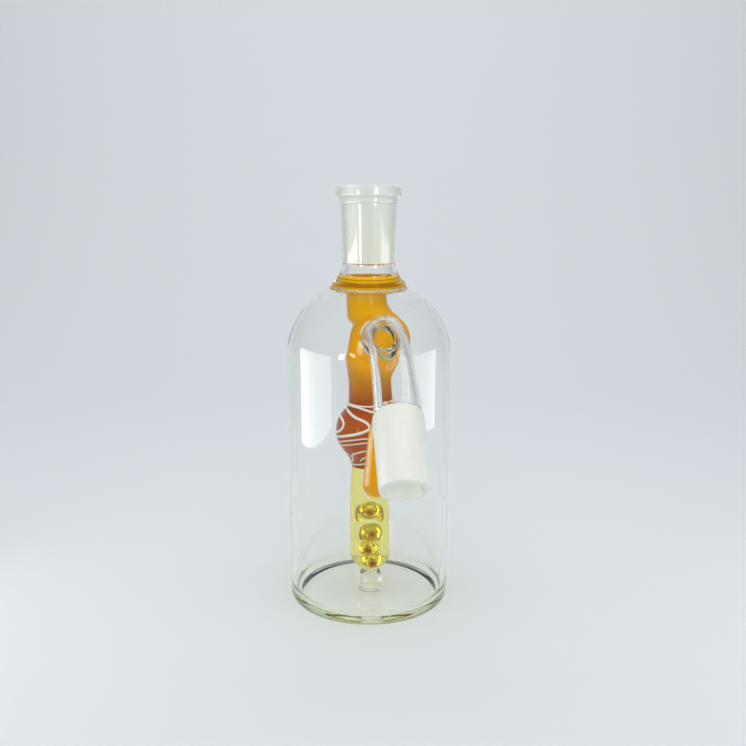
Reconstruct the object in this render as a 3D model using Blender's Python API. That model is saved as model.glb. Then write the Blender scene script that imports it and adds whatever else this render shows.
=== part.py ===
"""An in-line glass water bubbler with ground-glass joints, standing on its flat base.

Frame: origin at the middle of the base's underside, +Z up, metres.
The outlet arm leaves the front of the shoulder, towards -Y, and +X is to the right.
"""
import math

import bmesh
import bpy
from mathutils import Matrix, Vector

MM = 0.001
GAP = 0.3 * MM

# The can: a straight cylinder under a rounded shoulder.
CAN_RADIUS = 33.5 * MM
CAN_WALL = 2.3 * MM
BASE_SPLIT_Z = 7.0 * MM
SHOULDER_Z = 108.2 * MM
SHOULDER_TOP_Z = 133.7 * MM
SHOULDER_TOP_RADIUS = 12.6 * MM
SHOULDER_RADIUS_POWER = 1.25
SHOULDER_HEIGHT_POWER = 1.28

# The shoulder is two rings, parted at this angle up its curve, and the crown starts just above it.
CROWN_SPLIT = 40.0
CROWN_START = 41.0

# The base: a flat floor that turns up into the can's wall.
FLOOR_THICKNESS = 2.0 * MM
FLOOR_FLAT_RADIUS = 25.0 * MM
HEEL_RADIUS = 2.6 * MM

# The neck: a thick collar, a short clear tube and the ground joint with its lip.
COLLAR_RADIUS = 15.3 * MM
COLLAR_BORE = 11.5 * MM
COLLAR_TOP_Z = 137.0 * MM
COLLAR_SLOPE = 0.24
NECK_RADIUS = 11.9 * MM
NECK_BORE = 9.3 * MM
JOINT_FOOT_Z = 142.6 * MM
JOINT_FOOT_RADIUS = 10.6 * MM
JOINT_SHOULDER_Z = 165.0 * MM
JOINT_SHOULDER_RADIUS = 11.3 * MM
LIP_BOTTOM_Z = 168.6 * MM
LIP_RADIUS = 13.25 * MM
TOTAL_HEIGHT = 173.0 * MM
JOINT_GAUGE_RADIUS = 9.4 * MM
JOINT_BORE_FOOT_RADIUS = 8.2 * MM

# The downstem leans a little across the can: x of its axis at the top and at the floor.
STEM_TOP_X = -0.8 * MM
STEM_FOOT_X = 0.7 * MM
STEM_WALL = 1.9 * MM
STEM_TOP_Z = 136.0 * MM
SEAL_BOTTOM_Z = 131.2 * MM
SEAL_TOP_Z = 136.5 * MM
SEAL_RADIUS = 10.9 * MM
SEAL_BORE = 9.5 * MM

# Stations down the S-bend: height, sideways offset, radius.
S_BEND = (
    (STEM_TOP_Z, -0.8 * MM, 8.3 * MM),
    (127.0 * MM, -0.8 * MM, 8.3 * MM),
    (123.0 * MM, 0.2 * MM, 9.2 * MM),
    (119.5 * MM, 1.3 * MM, 9.9 * MM),
    (115.5 * MM, 4.2 * MM, 9.6 * MM),
    (111.0 * MM, 4.0 * MM, 9.8 * MM),
    (107.0 * MM, 2.0 * MM, 9.8 * MM),
    (103.5 * MM, 0.4 * MM, 10.0 * MM),
)
LOWER_STEM = (
    (103.2 * MM, 0.4 * MM, 9.9 * MM),
    (98.0 * MM, 0.0 * MM, 9.0 * MM),
    (93.0 * MM, -0.3 * MM, 8.1 * MM),
    (85.2 * MM, -0.3 * MM, 8.1 * MM),
)

# The line-worked bulb and the diffuser: height and outer radius of each station.
BULB = (
    (84.9 * MM, 8.4 * MM),
    (82.3 * MM, 9.2 * MM),
    (80.0 * MM, 11.3 * MM),
    (76.9 * MM, 13.0 * MM),
    (72.3 * MM, 13.8 * MM),
    (68.4 * MM, 13.1 * MM),
    (64.9 * MM, 11.2 * MM),
    (61.5 * MM, 8.5 * MM),
    (57.8 * MM, 7.1 * MM),
)
BULB_WALL = 1.8 * MM

# White lines on the bulb. Both kinds repeat three times round it, and bearings are in
# degrees from the front towards +X.
LINE_RADIUS = 0.42 * MM
LINE_LIFT = GAP + LINE_RADIUS + 0.15 * MM
LINE_REPEATS = 3

# Wavy rings: mean height, height of the waves and the bearing of a crest.
RING_LINES = (
    (83.9 * MM, 0.4 * MM, -64.0),
    (70.8 * MM, 1.7 * MM, -4.0),
    (69.1 * MM, 1.6 * MM, -4.0),
    (64.2 * MM, 2.7 * MM, -4.0),
    (59.6 * MM, 0.8 * MM, -4.0),
)

# Leaf-shaped turns between the rings: bearing, and height in mm, of each point.
LEAF_LINES = (
    ((-80, 82.3), (-49, 81.4), (-26, 80.2), (-8, 79.3), (1, 77.9), (2, 76.6), (-4, 75.7), (-15, 74.6),
     (-37, 73.1), (-71, 71.6)),
    ((-80, 78.8), (-59, 78.4), (-51, 77.0), (-56, 74.9), (-72, 73.6)),
)

DIFFUSER_TOP_Z = 57.5 * MM
DIFFUSER_TOP_RADIUS = 7.2 * MM
DIFFUSER_RADIUS = 8.5 * MM
DIFFUSER_ROUND_Z = 18.6 * MM
DIFFUSER_BOTTOM_Z = 11.1 * MM
DIFFUSER_WALL = 1.5 * MM
HOLE_RADIUS = 1.3 * MM
HOLE_RIM_RADIUS = 0.55 * MM
HOLE_RIM_SPREAD = 1.8 * MM

# Diffuser holes: height and bearing, in degrees from the front towards +X.
FRONT_HOLES = ((39.5, 2.0), (29.9, 6.0), (22.6, -5.0), (16.9, 7.0))
BACK_HOLES = ((34.0, 140.0), (34.0, -140.0), (24.0, 165.0), (24.0, -165.0))

PEG_RADIUS = 4.5 * MM
PEG_BEAD_RADIUS = 0.7 * MM

# The outlet arm: where it leaves the shoulder, how far it reaches and its ground joint.
ARM_BEARING = 8.7
ARM_LEAVE_BEARING = 3.0
ARM_EXIT_Z = 115.2 * MM
ARM_RISE = 36.0
ARM_REACH = 21.0 * MM
ARM_RADIUS = 7.2 * MM
ARM_END_RADIUS = 8.3 * MM
ARM_WALL = 1.8 * MM
ARM_JOINT_START = Vector((10.1, -63.3, 94.7)) * MM
ARM_JOINT_TILT = 45.0
ARM_JOINT_YAW = 4.0
ARM_JOINT_LENGTH = 29.0 * MM
ARM_JOINT_RADIUS = 9.0 * MM
ARM_JOINT_END_RADIUS = 8.4 * MM
ARM_JOINT_BORE = 6.4 * MM
WELD_RADIUS = 10.2 * MM
WELD_LENGTH = 4.2 * MM

# The cased drip down the front of the can: x, y, z and radius of each station, in mm.
DRIP = (
    (6.4, -33.6, 88.0, 2.4),
    (5.2, -34.6, 84.5, 3.1),
    (3.9, -35.2, 79.5, 3.2),
    (3.1, -35.4, 72.9, 3.2),
    (2.8, -35.7, 66.0, 3.6),
    (2.6, -36.0, 60.5, 4.0),
)
CASING_THICKNESS = 0.6 * MM

ROUND_STEPS = 40
SHOULDER_STEPS = 9
CROWN_STEPS = 5
PIPE_SIDES = 18
LINE_SIDES = 4


# ---------------------------------------------------------------- helpers


def make_material(name, colour, roughness, transmission=0.0):
    material = bpy.data.materials.new(name)
    material.use_nodes = True
    shader = material.node_tree.nodes["Principled BSDF"]
    shader.inputs["Base Color"].default_value = (*colour, 1.0)
    shader.inputs["Roughness"].default_value = roughness
    shader.inputs["Metallic"].default_value = 0.0
    shader.inputs["Transmission Weight"].default_value = transmission
    return material


def add_object(name, bm, material):
    bmesh.ops.recalc_face_normals(bm, faces=bm.faces)
    mesh = bpy.data.meshes.new(name)
    bm.to_mesh(mesh)
    bm.free()
    mesh.shade_smooth()
    mesh.set_sharp_from_angle(angle=math.radians(40))
    mesh.materials.append(material)
    obj = bpy.data.objects.new(name, mesh)
    bpy.context.scene.collection.objects.link(obj)
    return obj


def turned(name, outline, material, steps=ROUND_STEPS):
    """A solid of revolution about Z from a closed outline of (radius, height) points."""
    bm = bmesh.new()
    ring = [bm.verts.new((radius, 0.0, height)) for radius, height in outline]
    edges = [bm.edges.new((ring[i - 1], ring[i])) for i in range(len(ring))
             if outline[i - 1][0] > 0.0 or outline[i][0] > 0.0]
    bmesh.ops.spin(bm, geom=ring + edges, axis=(0, 0, 1), cent=(0, 0, 0), dvec=(0, 0, 0),
                   angle=math.tau, steps=steps, use_merge=True, use_duplicate=False)
    bmesh.ops.remove_doubles(bm, verts=bm.verts, dist=0.001 * MM)
    return add_object(name, bm, material)


def ring_frames(path):
    """A centre and two cross directions for each point, carried along without twist."""
    frames = []
    side = Vector((1, 0, 0))
    for i, point in enumerate(path):
        ahead = path[min(i + 1, len(path) - 1)] - path[max(i - 1, 0)]
        ahead.normalize()
        side = (side - ahead * side.dot(ahead)).normalized()
        frames.append((point, side, ahead.cross(side)))
    return frames


def swept(name, path, outer, inner, material, sides=PIPE_SIDES, closed=False, level=False):
    """A round bar or pipe along a path. inner is None for a solid bar; level keeps its rings flat."""
    bm = bmesh.new()
    frames = ring_frames(path)
    if closed:
        frames = closed_frames(path)
    if level:
        frames = [(point, Vector((1, 0, 0)), Vector((0, 1, 0))) for point in path]

    def skin(radii):
        rings = []
        for (centre, side, up), radius in zip(frames, radii):
            angles = [math.tau * k / sides for k in range(sides)]
            rings.append([bm.verts.new(centre + (side * math.cos(a) + up * math.sin(a)) * radius)
                          for a in angles])
        pairs = list(zip(rings, rings[1:]))
        if closed:
            pairs.append((rings[-1], rings[0]))
        for low, high in pairs:
            for k in range(sides):
                j = (k + 1) % sides
                bm.faces.new((low[k], low[j], high[j], high[k]))
        return rings

    outside = skin(outer)
    if inner is None:
        if not closed:
            bm.faces.new(outside[0])
            bm.faces.new(outside[-1])
        return add_object(name, bm, material)
    inside = skin(inner)
    for end in (0, -1):
        for k in range(sides):
            j = (k + 1) % sides
            bm.faces.new((outside[end][k], outside[end][j], inside[end][j], inside[end][k]))
    return add_object(name, bm, material)


def closed_frames(path):
    """Frames around a closed loop about Z: one cross direction is straight up."""
    frames = []
    for i, point in enumerate(path):
        ahead = (path[(i + 1) % len(path)] - path[i - 1]).normalized()
        side = ahead.cross(Vector((0, 0, 1))).normalized()
        frames.append((point, side, ahead.cross(side)))
    return frames


def smooth(stations, steps):
    """Points on a smooth curve through stations of any number of values each."""
    result = []
    last = len(stations) - 1
    for i in range(last):
        a = stations[max(i - 1, 0)]
        b, c = stations[i], stations[i + 1]
        d = stations[min(i + 2, last)]
        for k in range(steps):
            t = k / steps
            result.append(tuple(
                0.5 * (2 * q + (r - p) * t + (2 * p - 5 * q + 4 * r - s) * t * t
                       + (3 * q - p - 3 * r + s) * t * t * t)
                for p, q, r, s in zip(a, b, c, d)))
    result.append(tuple(stations[last]))
    return result


def bezier(a, b, c, d, count):
    points = []
    for k in range(count + 1):
        t = k / count
        s = 1 - t
        points.append(a * s ** 3 + b * 3 * s * s * t + c * 3 * s * t * t + d * t ** 3)
    return points


def stem_x(height):
    """Sideways place of the leaning downstem's axis at a height."""
    return STEM_FOOT_X + (STEM_TOP_X - STEM_FOOT_X) * height / STEM_TOP_Z


def lean(obj):
    """Leans a piece that was turned about Z so that it follows the downstem's axis."""
    shear = Matrix.Identity(4)
    shear[0][2] = (STEM_TOP_X - STEM_FOOT_X) / STEM_TOP_Z
    shear[0][3] = STEM_FOOT_X
    obj.data.transform(shear)
    return obj


def cut(obj, cutter):
    """Takes the cutter's shape out of obj."""
    cutter.hide_render = True
    cutter.display_type = "WIRE"
    modifier = obj.modifiers.new("cut_" + cutter.name, "BOOLEAN")
    modifier.operation = "DIFFERENCE"
    modifier.solver = "EXACT"
    modifier.object = cutter
    return obj


def front_direction(bearing, rise=0.0):
    """Unit vector at a bearing from -Y towards +X, raised by an angle, both in degrees."""
    turn = math.radians(bearing)
    lift = math.radians(rise)
    return Vector((math.sin(turn) * math.cos(lift), -math.cos(turn) * math.cos(lift), math.sin(lift)))


def shoulder_curve(inset, steps, start=0.0, end=90.0):
    """(radius, height) points up the shoulder's surface, moved in by inset, between two angles."""
    points = []
    for k in range(steps + 1):
        angle = math.radians(start + (end - start) * k / steps)
        spread = max(math.cos(angle), 0.0) ** SHOULDER_RADIUS_POWER
        climb = math.sin(angle) ** SHOULDER_HEIGHT_POWER
        radius = SHOULDER_TOP_RADIUS + (CAN_RADIUS - inset - SHOULDER_TOP_RADIUS) * spread
        height = SHOULDER_Z + (SHOULDER_TOP_Z - inset - SHOULDER_Z) * climb
        points.append((radius, height))
    return points


def shoulder_radius(height):
    """Outer radius of the can at a height on the shoulder."""
    climb = ((height - SHOULDER_Z) / (SHOULDER_TOP_Z - SHOULDER_Z)) ** (1 / SHOULDER_HEIGHT_POWER)
    spread = math.cos(math.asin(climb)) ** SHOULDER_RADIUS_POWER
    return SHOULDER_TOP_RADIUS + (CAN_RADIUS - SHOULDER_TOP_RADIUS) * spread


# ---------------------------------------------------------------- the can


def make_can(glass):
    """The can's straight wall."""
    inside = CAN_RADIUS - CAN_WALL
    foot = BASE_SPLIT_Z + GAP
    top = SHOULDER_Z - GAP
    outline = [(CAN_RADIUS, foot), (CAN_RADIUS, top), (inside, top), (inside, foot)]
    return turned("can_body", outline, glass)


def make_shoulder(glass):
    """The lower ring of the domed shoulder, which the outlet arm leaves."""
    outer = shoulder_curve(0.0, CROWN_STEPS, end=CROWN_SPLIT)
    inner = shoulder_curve(CAN_WALL, CROWN_STEPS, end=CROWN_SPLIT)
    return turned("can_shoulder", outer + inner[::-1], glass)


def make_crown(glass):
    """The upper ring of the shoulder, which closes the can in to its neck."""
    outer = shoulder_curve(0.0, CROWN_STEPS, start=CROWN_START)
    inner = shoulder_curve(CAN_WALL, CROWN_STEPS, start=CROWN_START)
    return turned("can_crown", outer + inner[::-1], glass)


def make_envelope(name, clearance):
    """A solid of the can's outer shape, grown by a clearance, for trimming what stands on it."""
    foot = DRIP[-1][2] * MM - 0.5 * CAN_RADIUS
    outline = [(CAN_RADIUS + clearance, foot)]
    outline += [(r + clearance, z + clearance) for r, z in shoulder_curve(0.0, SHOULDER_STEPS)]
    outline += [(0.0, SHOULDER_TOP_Z + clearance), (0.0, foot)]
    return turned(name, outline, make_material(name, (0.5, 0.5, 0.5), 0.5))


def make_base(glass):
    heel = [(CAN_RADIUS - HEEL_RADIUS + HEEL_RADIUS * math.sin(a), HEEL_RADIUS - HEEL_RADIUS * math.cos(a))
            for a in (math.radians(15 * k) for k in range(7))]
    wall_radius = CAN_RADIUS - CAN_WALL
    reach = wall_radius - FLOOR_FLAT_RADIUS
    climb = BASE_SPLIT_Z - FLOOR_THICKNESS
    fillet = [(wall_radius - reach * (1 - math.cos(a)), BASE_SPLIT_Z - climb * math.sin(a))
              for a in (math.radians(15 * k) for k in range(7))]
    outline = [(0.0, 0.0)] + heel + [(CAN_RADIUS, BASE_SPLIT_Z)] + fillet + [(0.0, FLOOR_THICKNESS)]
    return turned("base_disc", outline, glass)


def make_collar(glass):
    foot_z = SHOULDER_TOP_Z + GAP + 0.1 * MM
    outline = [
        (COLLAR_BORE, foot_z + 0.2 * MM),
        (COLLAR_RADIUS, foot_z - COLLAR_SLOPE * (COLLAR_RADIUS - SHOULDER_TOP_RADIUS)),
        (COLLAR_RADIUS + 0.1 * MM, foot_z + 0.2 * MM),
        (COLLAR_RADIUS - 0.8 * MM, foot_z + 1.2 * MM),
        (NECK_RADIUS + 0.9 * MM, COLLAR_TOP_Z - 0.5 * MM),
        (NECK_RADIUS + 0.2 * MM, COLLAR_TOP_Z),
        (COLLAR_BORE, COLLAR_TOP_Z),
    ]
    return turned("neck_collar", outline, glass)


def make_neck(glass):
    foot_z = COLLAR_TOP_Z + GAP
    outline = [
        (NECK_RADIUS, foot_z),
        (NECK_RADIUS - 0.8 * MM, foot_z + 2.0 * MM),
        (JOINT_FOOT_RADIUS, JOINT_FOOT_Z),
        (JOINT_BORE_FOOT_RADIUS, JOINT_FOOT_Z),
        (NECK_BORE, foot_z),
    ]
    return turned("neck_tube", outline, glass)


def make_top_joint(frosted):
    outline = [
        (JOINT_BORE_FOOT_RADIUS, JOINT_FOOT_Z + GAP),
        (JOINT_FOOT_RADIUS, JOINT_FOOT_Z + GAP),
        (JOINT_SHOULDER_RADIUS, JOINT_SHOULDER_Z),
        (JOINT_SHOULDER_RADIUS + 0.2 * MM, JOINT_SHOULDER_Z + 1.2 * MM),
        (JOINT_SHOULDER_RADIUS + 1.2 * MM, JOINT_SHOULDER_Z + 1.8 * MM),
        (JOINT_SHOULDER_RADIUS + 1.2 * MM, LIP_BOTTOM_Z - 0.7 * MM),
        (LIP_RADIUS - 0.3 * MM, LIP_BOTTOM_Z),
        (LIP_RADIUS, LIP_BOTTOM_Z + 0.8 * MM),
        (LIP_RADIUS, TOTAL_HEIGHT - 1.0 * MM),
        (LIP_RADIUS - 0.9 * MM, TOTAL_HEIGHT),
        (JOINT_GAUGE_RADIUS + 0.5 * MM, TOTAL_HEIGHT),
        (JOINT_GAUGE_RADIUS, TOTAL_HEIGHT - 0.5 * MM),
    ]
    return turned("top_joint", outline, frosted)


# ---------------------------------------------------------------- the downstem


def make_seal(orange):
    outline = [
        (SEAL_BORE, SEAL_BOTTOM_Z),
        (SEAL_RADIUS - 1.0 * MM, SEAL_BOTTOM_Z),
        (SEAL_RADIUS, SEAL_BOTTOM_Z + 1.4 * MM),
        (SEAL_RADIUS, SEAL_TOP_Z - 1.0 * MM),
        (SEAL_RADIUS - 0.8 * MM, SEAL_TOP_Z),
        (SEAL_BORE, SEAL_TOP_Z),
    ]
    return turned("seal_ring", outline, orange)


def make_stem(name, stations, material):
    """A pipe through stations of height, sideways offset and radius."""
    points = smooth(stations, 2)
    path = [Vector((x, 0.0, z)) for z, x, _ in points]
    outer = [radius for _, _, radius in points]
    inner = [radius - STEM_WALL for radius in outer]
    return swept(name, path, outer, inner, material, sides=20, level=True)


def bulb_radius(height):
    """Outer radius of the bulb at a height."""
    points = smooth(BULB, 6)
    for (high, r_high), (low, r_low) in zip(points, points[1:]):
        if low <= height <= high:
            return r_low + (r_high - r_low) * (height - low) / (high - low)
    return BULB[-1][1]


def make_bulb(material):
    outer = [(radius, height) for height, radius in smooth(BULB, 2)]
    inner = [(radius - BULB_WALL, height) for radius, height in outer]
    return lean(turned("line_bulb", outer + inner[::-1], material, steps=24))


def bulb_point(bearing, height, lift):
    """A point at a bearing and height, lifted off the bulb's surface."""
    out = front_direction(bearing) * (bulb_radius(height) + lift)
    return Vector((out.x + stem_x(height), out.y, height))


def make_line_work(white):
    """White lines laid on the bulb: wavy rings, and leaf-shaped turns between them."""
    count = 36
    for index, (height, wave, crest) in enumerate(RING_LINES):
        bearings = [360.0 * k / count for k in range(count)]
        rises = [wave * math.cos(math.radians(LINE_REPEATS * (bearing - crest))) for bearing in bearings]
        path = [bulb_point(bearing, height + rise, LINE_LIFT) for bearing, rise in zip(bearings, rises)]
        swept(f"line_ring_{index + 1}", path, [LINE_RADIUS] * count, None, white, LINE_SIDES, closed=True)
    for copy in range(LINE_REPEATS):
        turn = 360.0 * copy / LINE_REPEATS
        for index, stations in enumerate(LEAF_LINES):
            points = smooth([(bearing + turn, z * MM) for bearing, z in stations], 2)
            path = [bulb_point(bearing, z, LINE_LIFT) for bearing, z in points]
            name = f"line_leaf_{copy * len(LEAF_LINES) + index + 1}"
            swept(name, path, [LINE_RADIUS] * len(path), None, white, LINE_SIDES)


def diffuser_outline():
    """Outer (radius, height) points of the diffuser, from its mouth to its closed end."""
    body = [
        (DIFFUSER_TOP_RADIUS, DIFFUSER_TOP_Z),
        (DIFFUSER_TOP_RADIUS + 0.3 * MM, DIFFUSER_TOP_Z - 4 * MM),
        (DIFFUSER_RADIUS - 0.3 * MM, DIFFUSER_TOP_Z - 12 * MM),
        (DIFFUSER_RADIUS, DIFFUSER_TOP_Z - 24 * MM),
    ]
    depth = DIFFUSER_ROUND_Z - DIFFUSER_BOTTOM_Z
    end = [(DIFFUSER_RADIUS * math.cos(a), DIFFUSER_ROUND_Z - depth * math.sin(a))
           for a in (math.radians(18 * k) for k in range(5))]
    return body + end + [(0.0, DIFFUSER_BOTTOM_Z)]


def make_diffuser(yellow):
    outer = diffuser_outline()
    inner = [(max(radius - DIFFUSER_WALL, 0.0), height) for radius, height in outer[:-1]]
    inner = [(radius, max(height, DIFFUSER_BOTTOM_Z + DIFFUSER_WALL)) for radius, height in inner]
    inner.append((0.0, DIFFUSER_BOTTOM_Z + DIFFUSER_WALL))
    diffuser = lean(turned("diffuser_tube", outer + inner[::-1], yellow, steps=28))
    for index, (height, bearing) in enumerate(FRONT_HOLES + BACK_HOLES):
        out = front_direction(bearing)
        bm = bmesh.new()
        bmesh.ops.create_cone(bm, cap_ends=True, segments=12, radius1=HOLE_RADIUS,
                              radius2=HOLE_RADIUS, depth=6 * MM)
        drill = add_object(f"drill_{index}", bm, yellow)
        place = out * DIFFUSER_RADIUS + Vector((stem_x(height * MM), 0, height * MM))
        drill.matrix_world = Matrix.Translation(place) @ out.to_track_quat("Z", "Y").to_matrix().to_4x4()
        cut(diffuser, drill)
    return diffuser


def make_hole_rims(amber):
    """A fire-polished ring around each hole, just off the diffuser's wall."""
    steps = 14
    for index, (height, bearing) in enumerate(FRONT_HOLES + BACK_HOLES):
        out = front_direction(bearing)
        centre = out * (DIFFUSER_RADIUS + GAP + HOLE_RIM_RADIUS + 0.25 * MM)
        centre += Vector((stem_x(height * MM), 0, height * MM))
        across = out.cross(Vector((0, 0, 1)))
        bm = bmesh.new()
        rings = []
        for turn in (math.tau * k / steps for k in range(steps)):
            side = across * math.cos(turn) + Vector((0, 0, 1)) * math.sin(turn)
            middle = centre + side * HOLE_RIM_SPREAD
            angles = [math.tau * k / LINE_SIDES for k in range(LINE_SIDES)]
            rings.append([bm.verts.new(middle + (side * math.cos(a) + out * math.sin(a)) * HOLE_RIM_RADIUS)
                          for a in angles])
        for ring, ahead in zip(rings, rings[1:] + rings[:1]):
            for k in range(LINE_SIDES):
                j = (k + 1) % LINE_SIDES
                bm.faces.new((ring[k], ring[j], ahead[j], ahead[k]))
        add_object(f"hole_rim_{index + 1}", bm, amber)


def make_peg(glass):
    top = DIFFUSER_BOTTOM_Z - GAP
    foot = FLOOR_THICKNESS + GAP
    outline = [
        (0.0, foot),
        (PEG_RADIUS, foot),
        (PEG_RADIUS, top - 1.6 * MM),
        (PEG_RADIUS - 0.5 * MM, top - 0.6 * MM),
        (PEG_RADIUS - 1.5 * MM, top),
        (0.0, top),
    ]
    peg = turned("support_peg", outline, glass, steps=24)
    peg.location.x = STEM_FOOT_X
    return peg


def make_peg_bead(glass):
    """The bead of glass that fuses the peg to the floor."""
    inside = PEG_RADIUS + GAP
    foot = FLOOR_THICKNESS + GAP
    outline = [
        (inside, foot),
        (inside + 2 * PEG_BEAD_RADIUS, foot),
        (inside + PEG_BEAD_RADIUS, foot + PEG_BEAD_RADIUS),
        (inside, foot + 2 * PEG_BEAD_RADIUS),
    ]
    bead = turned("peg_bead", outline, glass, steps=24)
    bead.location.x = STEM_FOOT_X
    return bead


# ---------------------------------------------------------------- the outlet arm


def arm_exit():
    """The middle of the arm's hole on the can's outer surface."""
    place = front_direction(ARM_BEARING) * shoulder_radius(ARM_EXIT_Z)
    return Vector((place.x, place.y, ARM_EXIT_Z))


def joint_direction():
    return front_direction(ARM_JOINT_YAW, -ARM_JOINT_TILT)


def arm_path(count):
    """The arm's centre line, from inside the can's wall to the start of its ground joint."""
    start = arm_exit()
    leave = front_direction(ARM_LEAVE_BEARING, ARM_RISE)
    inside = start - leave * 3 * MM
    outline = bezier(start, start + leave * ARM_REACH,
                     ARM_JOINT_START - joint_direction() * ARM_REACH, ARM_JOINT_START, count)
    return [inside] + outline


def make_arm(glass, envelope):
    path = arm_path(16)
    share = [max(0.0, k / (len(path) - 1) - 0.35) / 0.65 for k in range(len(path))]
    outer = [ARM_RADIUS + (ARM_END_RADIUS - ARM_RADIUS) * s for s in share]
    inner = [radius - ARM_WALL for radius in outer]
    return cut(swept("outlet_arm", path, outer, inner, glass), envelope)


def make_weld(glass, envelope):
    """The flared fillet of glass around the arm's root."""
    start = arm_exit()
    leave = front_direction(ARM_LEAVE_BEARING, ARM_RISE)
    inside = ARM_RADIUS + GAP
    path = [start + leave * step * MM for step in (-5.5, 0.0, 1.5, 3.0)]
    outer = [WELD_RADIUS, WELD_RADIUS, WELD_RADIUS - 1.4 * MM, inside + 0.7 * MM]
    return cut(swept("arm_weld", path, outer, [inside] * len(path), glass), envelope)


def make_arm_hole(glass):
    start = arm_exit()
    leave = front_direction(ARM_LEAVE_BEARING, ARM_RISE)
    path = [start - leave * 8 * MM, start + leave * 8 * MM]
    return swept("arm_hole", path, [ARM_RADIUS - ARM_WALL] * 2, None, glass)


def make_arm_joint(frosted):
    length = ARM_JOINT_LENGTH
    outline = [
        (ARM_JOINT_BORE, GAP),
        (ARM_END_RADIUS, GAP),
        (ARM_JOINT_RADIUS - 0.15 * MM, 0.9 * MM),
        (ARM_JOINT_RADIUS, 1.8 * MM),
        (ARM_JOINT_END_RADIUS, length - 1.2 * MM),
        (ARM_JOINT_END_RADIUS - 0.4 * MM, length - 0.4 * MM),
        (ARM_JOINT_END_RADIUS - 1.0 * MM, length),
        (ARM_JOINT_BORE, length),
    ]
    joint = turned("arm_joint", outline, frosted, steps=40)
    turn = joint_direction().to_track_quat("Z", "Y").to_matrix().to_4x4()
    joint.matrix_world = Matrix.Translation(ARM_JOINT_START) @ turn
    return joint


# ---------------------------------------------------------------- the drip


def drip_bar(name, grow, back, material):
    """The drip's shape grown by a distance, with a rounded tip; back adds a length at its root."""
    points = smooth([tuple(value * MM for value in station) for station in DRIP], 3)
    path = [Vector(point[:3]) for point in points]
    radii = [point[3] + grow for point in points]
    if back:
        path.insert(0, path[0] - (path[1] - path[0]).normalized() * back)
        radii.insert(0, radii[0])
    ahead = (path[-1] - path[-2]).normalized()
    middle, reach = path[-1], radii[-1]
    for angle in (math.radians(degrees) for degrees in (20, 40, 58, 76)):
        path.append(middle + ahead * reach * math.sin(angle))
        radii.append(reach * math.cos(angle))
    return swept(name, path, radii, None, material, sides=14)


def make_drip(orange, envelope):
    return cut(drip_bar("drip_core", 0.0, 0.0, orange), envelope)


def make_drip_casing(glass, envelope):
    casing = drip_bar("drip_casing", GAP + CASING_THICKNESS, 0.0, glass)
    hollow = drip_bar("drip_hollow", GAP, 3 * MM, glass)
    return cut(cut(casing, hollow), envelope)


def clear_scene():
    for obj in list(bpy.data.objects):
        bpy.data.objects.remove(obj, do_unlink=True)


def main():
    clear_scene()
    clear = (0.86, 0.93, 0.88)
    envelope = make_envelope("can_envelope", GAP)
    make_can(make_material("can_glass", clear, 0.02, 1.0))
    shoulder = make_shoulder(make_material("shoulder_glass", clear, 0.02, 1.0))
    cut(shoulder, make_arm_hole(make_material("drill", clear, 0.5)))
    make_crown(make_material("crown_glass", clear, 0.02, 1.0))
    make_base(make_material("base_glass", clear, 0.02, 1.0))
    make_collar(make_material("collar_glass", clear, 0.02, 1.0))
    make_neck(make_material("neck_glass", clear, 0.02, 1.0))
    make_top_joint(make_material("top_joint_frosted", (0.84, 0.88, 0.82), 0.6))
    make_seal(make_material("seal_orange", (0.85, 0.48, 0.02), 0.1))
    make_stem("s_bend_stem", S_BEND, make_material("s_bend_orange", (0.86, 0.45, 0.01), 0.08))
    make_stem("lower_stem", LOWER_STEM, make_material("lower_stem_orange", (0.62, 0.24, 0.01), 0.08))
    make_bulb(make_material("bulb_brown", (0.5, 0.17, 0.01), 0.08))
    make_line_work(make_material("line_white", (0.85, 0.88, 0.8), 0.25))
    make_diffuser(make_material("diffuser_yellow", (0.86, 0.8, 0.15), 0.03, 0.9))
    make_hole_rims(make_material("rim_amber", (0.7, 0.4, 0.02), 0.1, 0.5))
    make_peg(make_material("peg_glass", clear, 0.02, 1.0))
    make_peg_bead(make_material("bead_glass", clear, 0.02, 1.0))
    make_arm(make_material("arm_glass", clear, 0.02, 1.0), envelope)
    make_weld(make_material("weld_glass", clear, 0.02, 1.0), envelope)
    make_arm_joint(make_material("arm_joint_frosted", (0.84, 0.88, 0.82), 0.6))
    make_drip(make_material("drip_orange", (0.85, 0.48, 0.02), 0.08), envelope)
    make_drip_casing(make_material("casing_glass", clear, 0.02, 1.0), envelope)


main()
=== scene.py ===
"""Looks of the glass water bubbler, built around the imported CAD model."""

import math

import bmesh
import bpy
import numpy as np
from mathutils import Matrix, Vector


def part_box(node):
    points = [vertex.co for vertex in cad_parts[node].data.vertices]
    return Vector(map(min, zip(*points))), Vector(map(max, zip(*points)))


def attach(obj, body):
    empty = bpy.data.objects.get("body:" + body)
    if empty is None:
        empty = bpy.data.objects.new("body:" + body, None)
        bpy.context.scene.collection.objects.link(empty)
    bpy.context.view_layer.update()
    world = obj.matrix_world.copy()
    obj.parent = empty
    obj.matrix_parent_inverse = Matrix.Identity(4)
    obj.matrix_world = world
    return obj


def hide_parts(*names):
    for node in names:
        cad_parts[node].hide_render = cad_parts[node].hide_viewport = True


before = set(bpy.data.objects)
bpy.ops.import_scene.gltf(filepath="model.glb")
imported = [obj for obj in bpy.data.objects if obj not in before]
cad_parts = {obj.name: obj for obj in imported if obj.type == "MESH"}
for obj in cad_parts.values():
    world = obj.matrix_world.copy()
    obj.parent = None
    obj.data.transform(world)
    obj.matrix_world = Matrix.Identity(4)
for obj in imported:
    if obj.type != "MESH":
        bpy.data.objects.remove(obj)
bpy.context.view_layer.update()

MM = 0.001

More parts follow.
